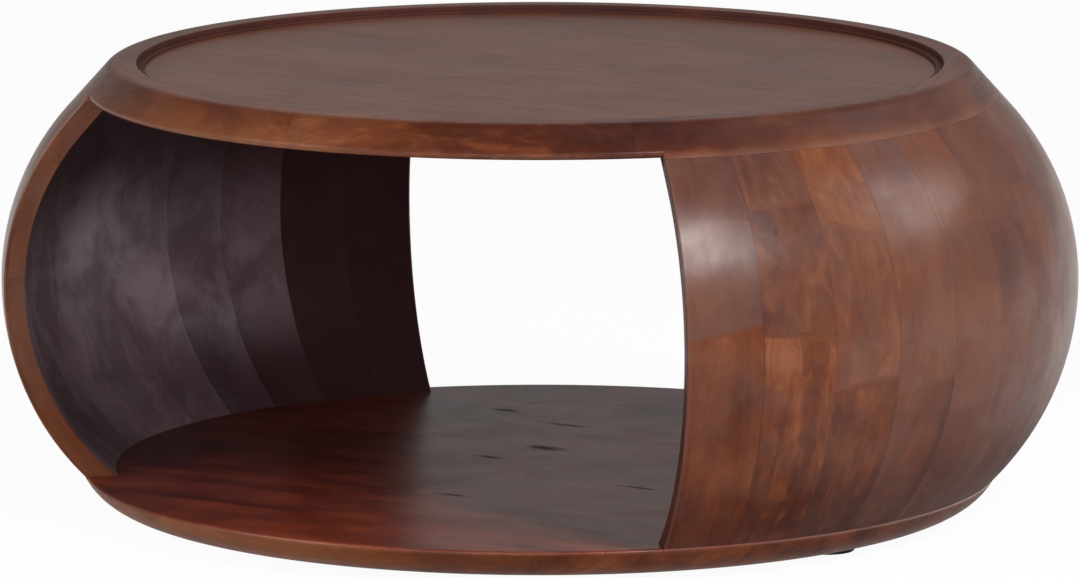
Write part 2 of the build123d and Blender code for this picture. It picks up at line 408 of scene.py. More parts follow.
def make_stain():
    """One value weighed from the grain and read off the ramp, with painted shade, painted sheen and wear
    over it.
    """
    group, given, result = new_group(
        "stain",
        {"Bands": 0.5, "Streaks": 0.5, "Pores": 0.0, "Curl": plain_curl, "Cloud": 0.5, "Contrast": 1.0,
         "Figure": 0.5, "Lightness": 0.0, "Greyness": 0.0, "Redness": 0.0, "Inside": 0.0,
         "Sheen": 0.0, "Dark": 0.0, "Rubbed": 0.0},
        ("Colour",),
    )
    total = maths(group, "MULTIPLY", maths(group, "SUBTRACT", given["Curl"], plain_curl), given["Figure"])
    total = maths(group, "MULTIPLY_ADD", total, figure_weight, -average_grain)
    for label, weight in GRAIN_WEIGHTS.items():
        total = maths(group, "MULTIPLY_ADD", given[label], weight, total)
    board_level = maths(group, "ADD", given["Lightness"], middle_tone)
    total = maths(group, "MULTIPLY_ADD", total, given["Contrast"], board_level)
    ramp = add_node(group, "ShaderNodeValToRGB", {0: total})
    stops = ramp.color_ramp.elements
    for index, (place, colour) in enumerate(STAIN_RAMP):
        stop = stops[index] if index < 2 else stops.new(place)
        stop.position = place
        stop.color = (*colour, 1)
    mauve = blend(group, mauve_share, ramp.outputs[0], mauve_tone_and_sheen)
    colour = blend(group, given["Greyness"], ramp.outputs[0], mauve)
    tinted = {0: colour, 1: red_tint}
    redder = add_node(group, "ShaderNodeVectorMath", tinted, operation="MULTIPLY").outputs[0]
    colour = blend(group, given["Redness"], colour, redder)
    for label, (cover, tone) in OVER_STAIN.items():
        colour = blend(group, maths(group, "MULTIPLY", given[label], cover), colour, tone)
    dark = maths(group, "MAXIMUM", maths(group, "MULTIPLY", given["Pores"], pore_cover), given["Dark"])
    return give_out(group, result, {"Colour": blend(group, dark, colour, filled_dark)})


stain = make_stain()

# %% [markdown]
# ## Joints, knots and rubbed edges
# Three small effects make the timber look built and used. A joint is a hairline that the stain fills, and
# it shows in some stretches and hardly at all in others. A knot or a dark fleck is a long oval with a
# ragged edge. An edge that hands and cloths pass over loses a little stain, most where it sticks out most.


# %% Draw a joint
hair_width = (0.0002, 0.0008)
breaks_per_metre = 16.0
break_seed_step = 7.3
break_range = (0.42, 0.66)
break_strength = (0.06, 0.55)


def make_joint_line():
    """Dark where Distance is under a hair's breadth, in broken stretches along the joint."""
    group, given, result = new_group("joint line", {"Distance": 0.0, "Along": 0.0, "Seed": 0.0}, ("Dark",))
    start = maths(group, "MULTIPLY", given["Seed"], break_seed_step)
    along = maths(group, "MULTIPLY_ADD", given["Along"], breaks_per_metre, start)
    place = add_node(group, "ShaderNodeCombineXYZ", {0: along, 1: given["Seed"]}).outputs[0]
    noise = {"Vector": place, "Scale": 1.0, "Detail": 2.0}
    patch = add_node(group, "ShaderNodeTexNoise", noise).outputs["Fac"]
    hair = spread(group, given["Distance"], *hair_width, 1.0, 0.0)
    shown = spread(group, patch, *break_range, *break_strength)
    return give_out(group, result, {"Dark": maths(group, "MULTIPLY", hair, shown)})


joint_line = make_joint_line()


# %% Draw a knot or a fleck
FIBRE_NOISE = (300.0, 70.0, 3.0)
raggedness = 1.2
fleck_fade = (0.6, 1.6)


def make_fleck():
    """A dark oval at its own place in a board, with an edge that the noise makes ragged."""
    group, given, result = new_group(
        "fleck",
        {"Across": 0.0, "Along": 0.0, "Middle across": 0.0, "Middle along": 0.0, "Half width": 0.002,
         "Half length": 0.01, "Strength": 0.9},
        ("Dark",),
    )
    aside = maths(group, "SUBTRACT", given["Across"], given["Middle across"])
    aside = maths(group, "DIVIDE", aside, given["Half width"])
    beyond = maths(group, "SUBTRACT", given["Along"], given["Middle along"])
    beyond = maths(group, "DIVIDE", beyond, given["Half length"])
    place = add_node(group, "ShaderNodeCombineXYZ", {0: given["Across"], 1: given["Along"]}).outputs[0]
    ragged = stretched_noise(group, place, *FIBRE_NOISE)
    far = maths(group, "MULTIPLY_ADD", ragged, raggedness, length_of(group, aside, beyond))
    return give_out(group, result, {"Dark": spread(group, far, *fleck_fade, given["Strength"], 0.0)})


fleck = make_fleck()


# %% Rub an edge
rub_patches_per_metre = 24.0
rub_range = (0.25, 0.7)
least_rub = 0.35


def make_rubbed_edge():
    """Bare wood at an edge, fading out over Reach, and worn through in some places more than in others."""
    group, given, result = new_group(
        "rubbed edge", {"Distance": 0.0, "Reach": 0.002, "Point": (0.0, 0.0, 0.0)}, ("Rubbed",)
    )
    spots = {"Vector": given["Point"], "Scale": rub_patches_per_metre, "Detail": 3.0}
    patch = add_node(group, "ShaderNodeTexNoise", spots).outputs["Fac"]
    near = maths(group, "SUBTRACT", 1.0, maths(group, "DIVIDE", given["Distance"], given["Reach"]))
    patchy = spread(group, patch, *rub_range, least_rub, 1.0)
    worn = maths(group, "MULTIPLY", spread(group, near, 0.0, 1.0), patchy)
    return give_out(group, result, {"Rubbed": worn})


rubbed_edge = make_rubbed_edge()


# %% Measure from a ring
def make_ring_distance():
    """How far a point lies from a circle round the table's axis."""
    group, given, result = new_group(
        "ring distance", {"Point": (0.0, 0.0, 0.0), "Radius": 0.4, "Height": 0.4}, ("Distance",)
    )
    x, y, z = add_node(group, "ShaderNodeSeparateXYZ", {0: given["Point"]}).outputs
    out = maths(group, "SUBTRACT", length_of(group, x, y), given["Radius"])
    up = maths(group, "SUBTRACT", z, given["Height"])
    return give_out(group, result, {"Distance": length_of(group, out, up)})


ring_distance = make_ring_distance()

# %% [markdown]
# ## Surfaces that are never quite flat
# The outside of the barrel is turned and sanded as one piece after it is glued up, so its faint waves run
# on over every joint. The inside is only worked with a gouge and a scraper: it keeps shallow hollows, and
# each stave there still stands at its own slight angle. Both are relief for a Bump node, in metres, so the
# numbers are real depths.


# %% Sand the outside
WAVES = (7.0, 7.0, 1.0)
SANDING_MARKS = (90.0, 90.0, 2.0)
wave_depth = 0.0009
sanding_depth = 0.000012


def make_sanded():
    """Slow waves over the whole table, and the faint marks of the last sanding."""
    group, given, result = new_group("sanded face", {"Point": (0.0, 0.0, 0.0)}, ("Relief",))
    waves = stretched_noise(group, given["Point"], *WAVES)
    marks = stretched_noise(group, given["Point"], *SANDING_MARKS)
    relief = maths(group, "MULTIPLY_ADD", waves, wave_depth, maths(group, "MULTIPLY", marks, sanding_depth))
    return give_out(group, result, {"Relief": relief})


sanded = make_sanded()


# %% Work the inside with a gouge
GOUGE_STROKES = (24.0, 11.0, 2.0)
SCRAPER_LINES = (240.0, 16.0, 2.0)
hollow_depth = 0.0009
scrape_depth = 0.000025


def make_gouged():
    """Shallow hollows as long as a gouge stroke, with the scraper's fine lines over them."""
    group, given, result = new_group("gouged face", {"Across": 0.0, "Along": 0.0, "Seed": 0.0}, ("Relief",))
    parts = {0: given["Across"], 1: given["Along"], 2: given["Seed"]}
    place = add_node(group, "ShaderNodeCombineXYZ", parts).outputs[0]
    hollows = stretched_noise(group, place, *GOUGE_STROKES)
    scrapes = stretched_noise(group, place, *SCRAPER_LINES)
    fine = maths(group, "MULTIPLY", scrapes, scrape_depth)
    relief = maths(group, "MULTIPLY_ADD", hollows, hollow_depth, fine)
    return give_out(group, result, {"Relief": relief})


gouged = make_gouged()

# %% [markdown]
# ## What the rag leaves
# Stain is wiped off with a rag before it dries. The rag leaves broad soft patches that are a little lighter
# or darker, and a finer haze where the film stays thicker. The whole table is wiped after it is glued up,
# so the patches run on over every joint. That is why this group takes a point of the table and not a place
# in a board.

# %% Wipe the stain
BROAD_WIPE = (8.0, 8.0, 5.0, 0.62, 0.3)
FINE_WIPE = (15.0, 15.0, 5.0, 0.65, 0.5)
wipe_range = (0.34, 0.66)
tone_range = (-0.5, 0.5)


def make_wiped_stain():
    """Broad soft patches that the rag leaves, running on over every joint."""
    group, given, result = new_group("wiped stain", {"Point": (0.0, 0.0, 0.0)}, ("Tone", "Haze"))
    broad = stretched_noise(group, given["Point"], *BROAD_WIPE)
    fine = stretched_noise(group, given["Point"], *FINE_WIPE)
    made = {
        "Tone": spread(group, broad, *wipe_range, *tone_range),
        "Haze": spread(group, fine, *wipe_range),
    }
    return give_out(group, result, made)


wiped_stain = make_wiped_stain()

# %% [markdown]
# ## Putting the wood together
# Every board gets a material of its own, made by one function, because no two boards were cut or stained
# alike. The grain and stain groups give the colour. The finish is a Principled shader: roughness near a
# third for satin, a little rougher on open grain and at knots, and a low specular level, because it is thin
# and rubbed down. The staves and the shelf also have a clear coat, which lies smooth over the grain. It is
# patchy where the rag left more or less, and thin over a knot, so its weight is a mask and not one number.

# %% Choose the lacquer
satin = 0.33
coat_satin = 0.30
wipe_tone = 0.12
wipe_grey = 0.25
streak_relief = 0.000008
pore_depth = 0.00004
knot_depth = 0.0001
open_grain_rough = 0.03
knot_rough = 0.3
coat_on_knots = 0.25


# %% Move each piece to its own part of the grain
# Where the pieces of each kind start in the pattern, and how far each lies from the one before it.
PATTERN_STARTS = {
    "right": (0, 1.37),
    "left": (20, 1.37),
    "rim": (40, 1.61),
    "top": (60, 1.43),
    "shelf": (80, 1.29),
}


def seed_for(kind, number):
    """The seed of one piece."""
    first, step = PATTERN_STARTS[kind]
    return first + number * step


# %% Finish one board
def worst_of(tree, effects):
    """The strongest of several masks."""
    strongest = 0.0
    for effect in effects:
        strongest = maths(tree, "MAXIMUM", strongest, effect)
    return strongest


def finish_wood(tree, place, look, dark, rubbed, relief):
    """Grain, stain and lacquer of one board; look holds the board's own values."""
    where = {label: place[label] for label in ("Across", "Along", "Depth")}
    board = use_group(tree, grain, {**where, "Seed": look["seed"]})
    point = add_node(tree, "ShaderNodeTexCoord").outputs["Object"]
    wiped = use_group(tree, wiped_stain, {"Point": point})
    spots = worst_of(tree, dark)
    dyes = {label: board[label] for label in GRAIN_NOISES}
    for label in ("Contrast", "Figure", "Redness", "Inside", "Sheen"):
        dyes[label] = look.get(label.lower(), 0.0)
    dyes["Lightness"] = maths(tree, "MULTIPLY_ADD", wiped["Tone"], wipe_tone, look["lightness"])
    dyes["Greyness"] = maths(tree, "MULTIPLY_ADD", wiped["Haze"], wipe_grey, look["greyness"])
    dyes.update({"Dark": spots, "Rubbed": worst_of(tree, rubbed)})
    colour = use_group(tree, stain, dyes)["Colour"]
    surface = maths(tree, "MULTIPLY_ADD", board["Streaks"], streak_relief, relief)
    surface = maths(tree, "MULTIPLY_ADD", board["Pores"], -pore_depth, surface)
    surface = maths(tree, "MULTIPLY_ADD", spots, -knot_depth, surface)
    bump = add_node(tree, "ShaderNodeBump", {"Height": surface, "Distance": 1.0, "Strength": 1.0}).outputs[0]
    open_grain = spread(tree, board["Streaks"], 0.0, 1.0, open_grain_rough, -open_grain_rough)
    rough = maths(tree, "ADD", open_grain, look["rough"])
    rough = maths(tree, "MULTIPLY_ADD", spots, knot_rough, rough)
    lacquered = {"Base Color": colour, "Roughness": rough, "Normal": bump}
    lacquered["Specular IOR Level"] = look["gloss"]
    if "coat" in look:
        even = spread(tree, wiped["Haze"], 0.0, 1.0, 1 - look["patchy"], 1 + look["patchy"])
        even = maths(tree, "MULTIPLY", even, look["coat"])
        even = maths(tree, "MULTIPLY", even, spread(tree, spots, 0.0, 1.0, 1.0, coat_on_knots))
        lacquered.update({"Coat Weight": even, "Coat Roughness": coat_satin})
    shader = add_node(tree, "ShaderNodeBsdfPrincipled", lacquered)
    add_node(tree, "ShaderNodeOutputMaterial", {"Surface": shader.outputs[0]})


def point_turned(tree, angle, aside=0.0):
    """Object coordinates, turned so that the angle comes round to +X, and moved aside along X."""
    point = add_node(tree, "ShaderNodeTexCoord").outputs["Object"]
    placing = {"Vector": point, "Rotation": (0, 0, -angle), "Location": (-aside, 0, 0)}
    return point, add_node(tree, "ShaderNodeMapping", placing).outputs[0]


def flecks_in(tree, place, flecks):
    """Dark ovals in a board, each given as across, along, half width, half length and strength."""
    labels = ("Middle across", "Middle along", "Half width", "Half length", "Strength")
    here = {"Across": place["Across"], "Along": place["Along"]}
    return [use_group(tree, fleck, {**here, **dict(zip(labels, shape))})["Dark"] for shape in flecks]


def coat(node_name, material):
    """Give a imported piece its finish."""
    piece = nodes[node_name]
    piece.data.materials.clear()
    piece.data.materials.append(material)


# %% [markdown]
# ## The staves
# Each stave is glued up from three lengths, scarfed end to end, and the lengths come from different planks.
# So a stave changes colour at two slanting joints. The table of looks gives, for each stave, the lightness
# and greyness of its three lengths from the bottom up, the two joints' places along the arc, their slants,
# and how curly the timber is. On the right-hand shell these also hold painted light: some lengths are
# painted lighter and greyer as highlight and sheen, others darker as shade.

# %% Choose the lengths of timber
RIGHT_SHELL_WITH_PAINTED_LIGHT = (
    (((-0.06, 0.00), (-0.08, 0.90), (-0.17, 0.70)), (0.027, 0.130), (0.15, -0.10), 0.4),
    (((0.00, 0.10), (-0.10, 0.40), (-0.03, 0.60)), (0.020, 0.140), (-0.10, 0.05), 1.3),
    (((-0.13, 0.20), (-0.01, 0.60), (0.03, 0.30)), (-0.030, 0.110), (0.10, -0.30), 1.0),
    (((-0.06, 0.50), (0.04, 0.80), (-0.02, 0.80)), (-0.040, 0.142), (0.12, 0.10), 0.5),
    (((-0.08, 0.60), (-0.02, 0.80), (0.02, 0.70)), (-0.070, 0.100), (0.05, 0.15), 0.3),
    (((-0.08, 0.60), (-0.08, 0.80), (-0.10, 0.90)), (0.010, 0.090), (-0.10, 0.10), 0.3),
    (((-0.12, 0.50), (-0.08, 0.50), (-0.08, 0.60)), (-0.050, 0.120), (0.08, 0.10), 0.3),
    (((-0.06, 0.80), (-0.04, 0.90), (0.00, 0.90)), (0.000, 0.110), (0.10, 0.05), 0.3),
    (((-0.04, 0.60), (0.02, 0.50), (-0.06, 0.70)), (-0.060, 0.080), (0.06, -0.12), 0.5),
    (((-0.02, 0.30), (-0.06, 0.50), (0.00, 0.40)), (0.030, 0.130), (-0.10, 0.10), 0.4),
)
LEFT_SHELL = (
    (((-0.04, 0.20), (0.00, 0.30), (-0.06, 0.20)), (-0.050, 0.100), (0.10, 0.10), 0.3),
    (((0.00, 0.30), (-0.06, 0.40), (-0.02, 0.30)), (0.020, 0.130), (-0.10, 0.10), 0.6),
    (((-0.04, 0.50), (0.02, 0.20), (-0.04, 0.50)), (-0.030, 0.090), (0.15, -0.10), 0.4),
    (((0.02, 0.40), (-0.04, 0.60), (0.00, 0.40)), (0.040, 0.140), (0.05, 0.10), 0.3),
    (((-0.02, 0.60), (0.00, 0.50), (-0.06, 0.70)), (-0.060, 0.110), (0.10, -0.10), 0.3),
    (((-0.06, 0.30), (0.02, 0.60), (0.00, 0.30)), (0.000, 0.120), (-0.10, 0.10), 0.8),
    (((0.00, 0.70), (-0.04, 0.50), (-0.02, 0.60)), (-0.020, 0.080), (0.10, 0.10), 0.3),
    (((-0.04, 0.40), (0.00, 0.60), (-0.06, 0.50)), (0.050, 0.145), (0.12, -0.05), 0.4),
    (((0.00, 0.30), (-0.02, 0.40), (0.02, 0.20)), (-0.040, 0.100), (-0.08, 0.10), 0.5),
    (((-0.02, 0.20), (0.00, 0.30), (-0.02, 0.20)), (0.010, 0.130), (0.10, 0.10), 0.3),
)
STAVE_FLECKS = {
    "right_stave_2": ((-0.0118, 0.1144, 0.0016, 0.0030, 0.9), (-0.0179, 0.0817, 0.0013, 0.0016, 0.9)),
    "right_stave_3": ((0.0187, 0.0759, 0.0018, 0.0022, 0.9),),
    "left_stave_6": ((0.004, -0.030, 0.0016, 0.0025, 0.9),),
}
INSIDE_TURNS = (0.03, 0.02, 0.01, 0.02, -0.03, -0.02, 0.0, -0.02, 0.01, -0.02)
# For each stave of a shell: how strong the inside's painted sheen and clear coat are, and what is left low
# down.
INSIDE_SHEEN = (0.00, 0.02, 0.50, 0.65, 1.00, 1.08, 1.15, 1.05, 0.95, 0.80)
LOW_SHEEN = (0.0, 0.0, 0.05, 0.25, 0.45, 0.55, 0.6, 0.6, 0.6, 0.6)
print("lengths of timber:", 3 * (len(RIGHT_SHELL_WITH_PAINTED_LIGHT) + len(LEFT_SHELL)))

# %% [markdown]
# ## Three faces of a stave
# The outside shows the lengths of timber under a thin clear coat, which is duller near the floor, where it
# is scuffed and mopped, and painted darker there as shade. The inside is painted darker and purple-brown,
# as the shade in the barrel, with a pale, patchy painted sheen low on the wall, strongest from the fifth
# stave of a shell on, where its clear coat is thickest too. Each stave there also turns the light at its own
# slight angle. The free edge of a shell is one clean cut, planed at a slight bevel, and takes one even tone,
# which is painted dark as shade on the right-hand shell. A mask tells the faces apart by depth and by the
# distance from the shell's end.

# %% Set the faces apart
# The inside is painted darker and greyer than the outside, as the shade inside the barrel.
inside_painted_shade = -0.30
inside_greyness = 0.6
inside_rough = 0.10
inside_coat = 0.90
stave_gloss = 0.03
stave_coat = 0.42
low_dullness = 0.30
# How much darker the outside is painted near the floor, as shade.
low_painted_shade = -0.19
# The lightness of each shell's cut face: on the right-hand shell it is painted dark as shade.
END_FACE_TONE_AND_SHADE = {"right": -0.24, "left": 0.05}
end_face_greyness = 0.25
end_bevel = math.tan(math.radians(8.0))
end_arris = 0.0015
end_face_fade = (-0.0004, 0.0006)
arris_rub = 0.004
scarf_softness = 0.0035
length_seeds = (0.0, 0.6, 1.3)
head_seed_step = 3
coat_patches = 0.25
inside_depths = (wall - 0.0006, wall - 0.0003)
print("the inside begins", round(inside_depths[0] * 1000, 2), "mm below the outer face")

# %% Say how high each effect reaches
# The heights between which the painted shade, the dullness and the thin coat near the floor ease out, and
# the painted sheen eases in and out.
painted_shade_heights = (0.045, 0.13)
dull_heights = (0.05, 0.17)
coat_heights = (0.06, 0.20)
sheen_foot = (0.06, 0.16)
sheen_top = (0.15, 0.30)
# What is left of the coat low down and of the painted sheen high up, and how far the wiped patches change
# the painted sheen.
thin_coat = 0.15
high_sheen = 0.06
sheen_haze = (0.72, 1.1)
sheen_tone = (0.80, 1.1)
print("the bloom fades out between", *sheen_top, "m")


# %% Change a value at a joint
def scarfed(tree, place, scarf, slant):
    """0 below a slanting joint in a stave, 1 above it."""
    line = maths(tree, "MULTIPLY_ADD", place["Across"], slant, scarf)
    return spread(tree, maths(tree, "SUBTRACT", place["Along"], line), -scarf_softness, scarf_softness)


def three_lengths(tree, low_joint, high_joint, values):
    """A value that changes at the two joints of a stave."""
    bottom, middle, top = values
    value = maths(tree, "MULTIPLY_ADD", low_joint, middle - bottom, bottom)
    return maths(tree, "MULTIPLY_ADD", high_joint, top - middle, value)


def moved_to(tree, amount, value, goal):
    """Move a value towards a goal by an amount from 0 to 1."""
    return maths(tree, "MULTIPLY_ADD", amount, maths(tree, "SUBTRACT", goal, value), value)


# %% Lay the painted sheen and find the free edge
def sheen_mask(tree, inside, height, point, number):
    """Where a pale sheen is painted on the inside of a stave; its clear coat follows the same mask."""
    sheen = maths(tree, "MULTIPLY", inside, INSIDE_SHEEN[number - 1])
    sheen = maths(tree, "MULTIPLY", sheen, spread(tree, height, *sheen_top, 1.0, high_sheen))
    sheen = maths(tree, "MULTIPLY", sheen, spread(tree, height, *sheen_foot, LOW_SHEEN[number - 1], 1.0))
    wiped = use_group(tree, wiped_stain, {"Point": point})
    sheen = maths(tree, "MULTIPLY", sheen, spread(tree, wiped["Haze"], 0.0, 1.0, *sheen_haze))
    return maths(tree, "MULTIPLY", sheen, spread(tree, wiped["Tone"], *tone_range, *sheen_tone))


def free_edge(tree, place, point, end):
    """The cut face at the end of a shell, and the rub along its outer arris."""
    to_end = maths(tree, "SUBTRACT", half_stave, maths(tree, "MULTIPLY", place["Across"], end))
    cut = maths(tree, "MULTIPLY_ADD", place["Depth"], end_bevel, end_arris)
    face = spread(tree, maths(tree, "SUBTRACT", to_end, cut), *end_face_fade, 1.0, 0.0)
    arris = length_of(tree, to_end, place["Depth"])
    worn = use_group(tree, rubbed_edge, {"Distance": arris, "Reach": arris_rub, "Point": point})
    return face, worn["Rubbed"]


# %% Stain the staves
def stave_wood(name, angle, seed, timber, number, end=0):
    """end is -1 or 1 where the stave's edge is the free end of the shell, before or after it."""
    lengths, scarfs, slants, figure = timber
    material, tree = blank_material(name + "_wood")
    point, turned = point_turned(tree, angle)
    place = use_group(tree, stave_place, {"Point": turned})
    joints = [scarfed(tree, place, scarf, slant) for scarf, slant in zip(scarfs, slants)]
    lightness = three_lengths(tree, *joints, [light for light, grey in lengths])
    greyness = three_lengths(tree, *joints, [grey for light, grey in lengths])
    seeds = three_lengths(tree, *joints, [seed + step for step in length_seeds])
    height = add_node(tree, "ShaderNodeSeparateXYZ", {0: point}).outputs[2]
    # Painted shade: the outside is painted darker towards the floor.
    lightness = maths(tree, "ADD", spread(tree, height, *painted_shade_heights, low_painted_shade, 0.0), lightness)
    inside = spread(tree, place["Depth"], *inside_depths)
    # Painted shade: the inside is made darker and greyer.
    lightness = maths(tree, "MULTIPLY_ADD", inside, inside_painted_shade, lightness)
    greyness = moved_to(tree, inside, greyness, inside_greyness)
    edge = maths(tree, "SUBTRACT", half_stave, maths(tree, "ABSOLUTE", place["Across"]))
    head = maths(tree, "SUBTRACT", stave_top, place["Along"])
    side_joint = {"Distance": edge, "Along": place["Along"], "Seed": seed}
    head_joint = {"Distance": head, "Along": place["Across"], "Seed": seed + head_seed_step}
    dark = [use_group(tree, joint_line, joint)["Dark"] for joint in (side_joint, head_joint)]
    dark += flecks_in(tree, place, STAVE_FLECKS.get(name, ()))
    rubbed = []
    if end:
        end_face, worn = free_edge(tree, place, point, end)
        rubbed.append(worn)
        # Painted shade: the right-hand shell's cut face is painted dark.
        lightness = moved_to(tree, end_face, lightness, END_FACE_TONE_AND_SHADE[name.split("_")[0]])
        greyness = moved_to(tree, end_face, greyness, end_face_greyness)
        inside = maths(tree, "MULTIPLY", inside, maths(tree, "SUBTRACT", 1.0, end_face))
    outer = use_group(tree, sanded, {"Point": point})["Relief"]
    strokes = {"Across": place["Across"], "Along": place["Along"], "Seed": seed}
    hollows = use_group(tree, gouged, strokes)["Relief"]
    inner = maths(tree, "MULTIPLY_ADD", place["Across"], INSIDE_TURNS[number - 1], hollows)
    rough = maths(tree, "ADD", spread(tree, height, *dull_heights, low_dullness, 0.0), satin)
    outside_coat = maths(tree, "MULTIPLY", maths(tree, "SUBTRACT", 1.0, inside), stave_coat)
    outside_coat = maths(tree, "MULTIPLY", outside_coat, spread(tree, height, *coat_heights, thin_coat, 1.0))
    # The inside's painted sheen, and the clear coat that follows it.
    sheen = sheen_mask(tree, inside, height, point, number)
    look = {
        "seed": seeds,
        "contrast": 1.0,
        "figure": figure,
        "lightness": lightness,
        "greyness": greyness,
        "gloss": stave_gloss,
        "patchy": coat_patches,
        "coat": maths(tree, "MULTIPLY_ADD", sheen, inside_coat, outside_coat),
        "inside": inside,
        "sheen": sheen,
        "rough": maths(tree, "MULTIPLY_ADD", inside, inside_rough, rough),
    }
    finish_wood(tree, place, look, dark, rubbed, moved_to(tree, inside, outer, inner))
    return material


for side, centre, shell in (("right", 0.0, RIGHT_SHELL_WITH_PAINTED_LIGHT), ("left", math.pi, LEFT_SHELL)):
    for number, timber in enumerate(shell, 1):
        middle = centre - shell_span / 2 + (number - 0.5) * stave_angle
        seed = seed_for(side, number)
        end = {1: -1, staves_per_shell: 1}.get(number, 0)
        name = f"{side}_stave_{number}"
        coat(name, stave_wood(name, middle, seed, timber, number, end))
print("staves stained:", len(RIGHT_SHELL_WITH_PAINTED_LIGHT) + len(LEFT_SHELL))

# %% [markdown]
# ## The rim
# The rim is eight sawn segments, so its grain runs straight through each one and meets its neighbours at an
# angle. The maker matched the segments so well that the tone runs on from one to the next. So the tones are
# written down at the joints and at the middle of each segment, and each segment eases between its three.
# The sloping face is painted darker towards its rounded crest as shade, and the flat on top is painted
# lighter and greyer as sheen. The lower edge over the openings is rubbed, and the wall of the tray is
# painted dark and redder as the shade in that recess.

# %% Choose the tones round the rim
RIM_TONES = (
    (-0.03, 0.80, 0.3), (-0.05, 0.90, 0.3), (-0.04, 0.50, 0.4), (-0.02, 0.50, 0.4),
    (-0.03, 0.40, 0.5), (-0.05, 0.50, 0.4), (-0.02, 0.50, 0.3), (0.00, 0.40, 0.4),
    (-0.03, 0.60, 0.4), (-0.04, 0.50, 0.4), (0.05, 0.40, 0.4), (0.08, 0.25, 0.4),
    (0.06, 0.10, 0.8), (-0.03, 0.00, 1.2), (-0.24, 0.00, 0.7), (-0.06, 0.45, 0.4),
)
RIM_FLECKS = {7: ((0.001, -0.0786, 0.0035, 0.0055, 0.8),)}
rim_segments = len(RIM_TONES) // 2
# The tray wall and the slope below the crest are painted darker as shade, and the flat lighter as sheen.
tray_wall_painted_shade = 0.6
rim_gloss = 0.14
crest_painted_shade = -0.12
flat_painted_sheen_grey = 0.45
flat_painted_sheen = 0.07
rim_contrast = 1.2
low_edge_rub = 0.010
crest_height = top_height - 0.005
face_starts = (tray_radius + 0.020, tray_radius + 0.026)
tray_wall_ends = (tray_radius + 0.0003, tray_radius + 0.0010)
print("segments in the rim:", rim_segments)


def flat_place(tree, turned):
    """A board that lies flat: across is along X of the turned point, and the grain runs along Y."""
    across, along, depth = add_node(tree, "ShaderNodeSeparateXYZ", {0: turned}).outputs
    return {"Across": across, "Along": along, "Depth": depth}


def ring_rub(tree, point, radius, height, reach):
    """The rub along an edge that runs round the table."""
    ring = {"Point": point, "Radius": radius, "Height": height}
    distance = use_group(tree, ring_distance, ring)["Distance"]
    return use_group(tree, rubbed_edge, {"Distance": distance, "Reach": reach, "Point": point})["Rubbed"]


def eased_round(tree, share, values):
    """Ease through three values as share goes from -1 at a segment's start to 1 at its end."""
    start, middle, end = values
    first_half = spread(tree, share, -1.0, 0.0, start, middle)
    return maths(tree, "ADD", first_half, spread(tree, share, 0.0, 1.0, 0.0, end - middle))


# %% Stain the rim
def rim_wood(number):
    """One segment, between the tones at its start, middle and end."""
    material, tree = blank_material(f"rim_segment_{number}_wood")
    half_segment = math.pi / rim_segments
    point, turned = point_turned(tree, (2 * number - 1) * half_segment)
    x, y, z = add_node(tree, "ShaderNodeSeparateXYZ", {0: turned}).outputs
    share = maths(tree, "DIVIDE", maths(tree, "ARCTAN2", y, x), half_segment)
    tones = [RIM_TONES[(2 * number - 2 + step) % len(RIM_TONES)] for step in range(3)]
    lightness, greyness, figure = [eased_round(tree, share, values) for values in zip(*tones)]
    radius = length_of(tree, x, y)
    on_face = spread(tree, radius, *face_starts)
    # Painted shade: the sloping face is painted darker towards its crest.
    crest = maths(tree, "MULTIPLY", spread(tree, z, rim_height, crest_height), on_face)
    lightness = maths(tree, "MULTIPLY_ADD", crest, crest_painted_shade, lightness)
    # Painted sheen: the flat on top is painted lighter and greyer.
    on_flat = maths(tree, "SUBTRACT", 1.0, on_face)
    lightness = maths(tree, "MULTIPLY_ADD", on_flat, flat_painted_sheen, lightness)
    greyness = maths(tree, "MULTIPLY_ADD", on_flat, flat_painted_sheen_grey, greyness)
    place = {"Across": maths(tree, "SUBTRACT", x, tray_radius), "Along": y, "Depth": z}
    # Painted shade: the wall of the tray is painted dark and redder.
    tray_wall_shade = spread(tree, radius, *tray_wall_ends, tray_wall_painted_shade, 0.0)
    dark = [tray_wall_shade, *flecks_in(tree, place, RIM_FLECKS.get(number, ()))]
    rubbed = [ring_rub(tree, point, rim_low_radius, rim_height, low_edge_rub)]
    look = {
        "seed": seed_for("rim", number),
        "contrast": rim_contrast,
        "figure": figure,
        "lightness": lightness,
        "greyness": greyness,
        "gloss": rim_gloss,
        "redness": tray_wall_shade,
        "rough": satin,
    }
    finish_wood(tree, place, look, dark, rubbed, use_group(tree, sanded, {"Point": point})["Relief"])
    return material


for number in range(1, rim_segments + 1):
    coat(f"rim_segment_{number}", rim_wood(number))
print("rim segments stained:", rim_segments)

# %% [markdown]
# ## The top panel and the shelf
# Both are glued up from eight boards whose grain runs from shell to shell. The boards were matched, so they
# differ only a little. The top is painted a little lighter towards the left-hand shell, as light from the
# front left. The shelf is redder under its clear coat. Its face is painted darker towards the left-hand
# shell as shade and lighter towards the right, and its bare edge is painted lightest towards the left-hand
# shell, where light from the front left falls. It has a few dark flecks where small knots were cut through,
# and they stay dull. Each panel has a function that moves its tones, and one function for both stains a
# board.

# %% Choose the boards
# Lightness and greyness of each board, from the front to the back.
TOP_LOOKS = (
    (0.02, 0.50), (0.05, 0.60), (0.01, 0.50), (0.04, 0.60),
    (0.01, 0.55), (0.04, 0.60), (0.02, 0.60), (0.04, 0.50),
)
SHELF_LOOKS = (
    (-0.05, 0.00), (-0.07, 0.05), (-0.08, 0.00), (-0.12, 0.10),
    (-0.08, 0.10), (-0.12, 0.20), (-0.08, 0.10), (-0.08, 0.20),
)
